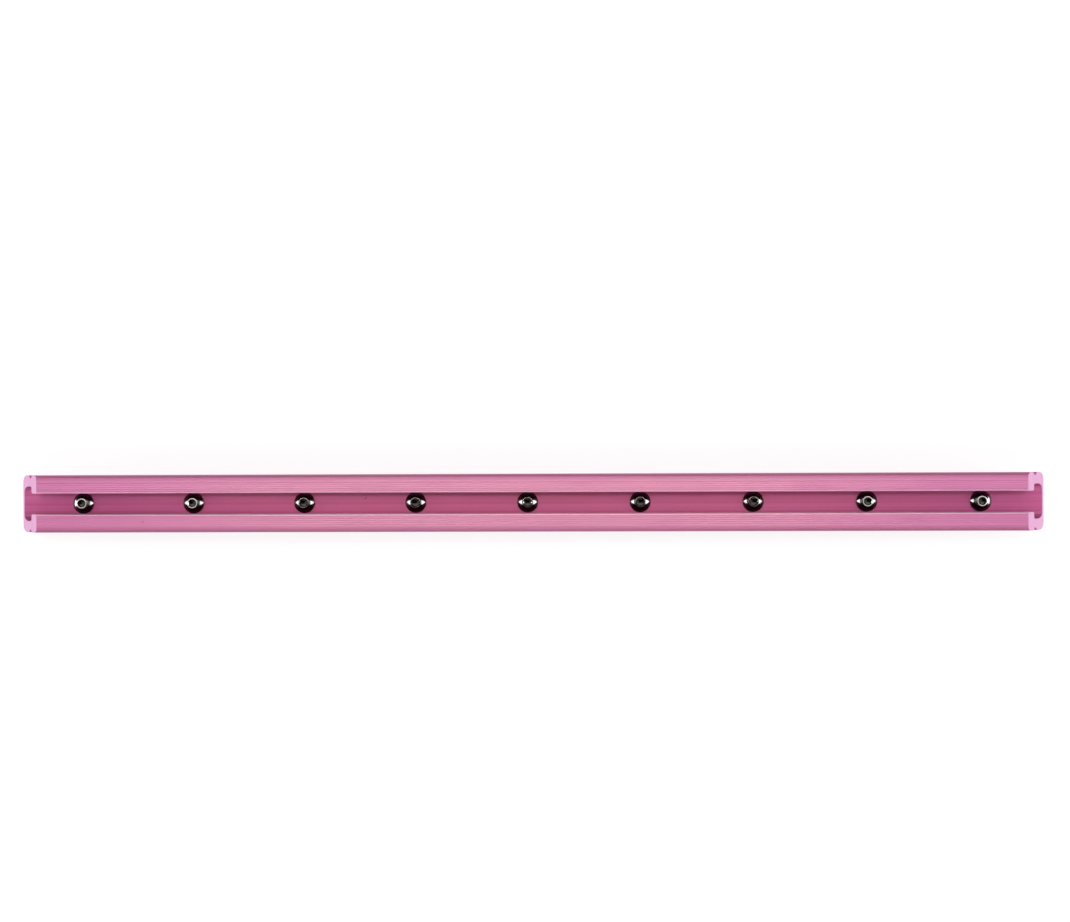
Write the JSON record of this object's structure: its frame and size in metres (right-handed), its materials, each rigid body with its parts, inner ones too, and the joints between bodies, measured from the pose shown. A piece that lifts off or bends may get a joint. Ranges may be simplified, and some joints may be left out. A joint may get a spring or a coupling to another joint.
{
  "type": "slotted accessory track",
  "caption": "Straight anodised C-section rail with a T-slot, V-grooved sides and mitred ends, held by button-head screws set in a row on its channel floor.",
  "frame": {"origin": "middle of the rail's back face, on the middle screw's axis", "axes": "+X along the rail, +Y across it, +Z out of the slot, away from the support"},
  "size_m": [0.456, 0.0254, 0.0227],
  "materials": {
    "anodised_rail": "satin pink anodised",
    "dark_screw": "polished black nickel"
  },
  "bodies": {
    "root": {"track_rail": "anodised_rail", "mounting_screw_1": "dark_screw", "mounting_screw_2": "dark_screw", "mounting_screw_3": "dark_screw", "mounting_screw_4": "dark_screw", "mounting_screw_5": "dark_screw", "mounting_screw_6": "dark_screw", "mounting_screw_7": "dark_screw", "mounting_screw_8": "dark_screw", "mounting_screw_9": "dark_screw"}
  },
  "joints": []
}
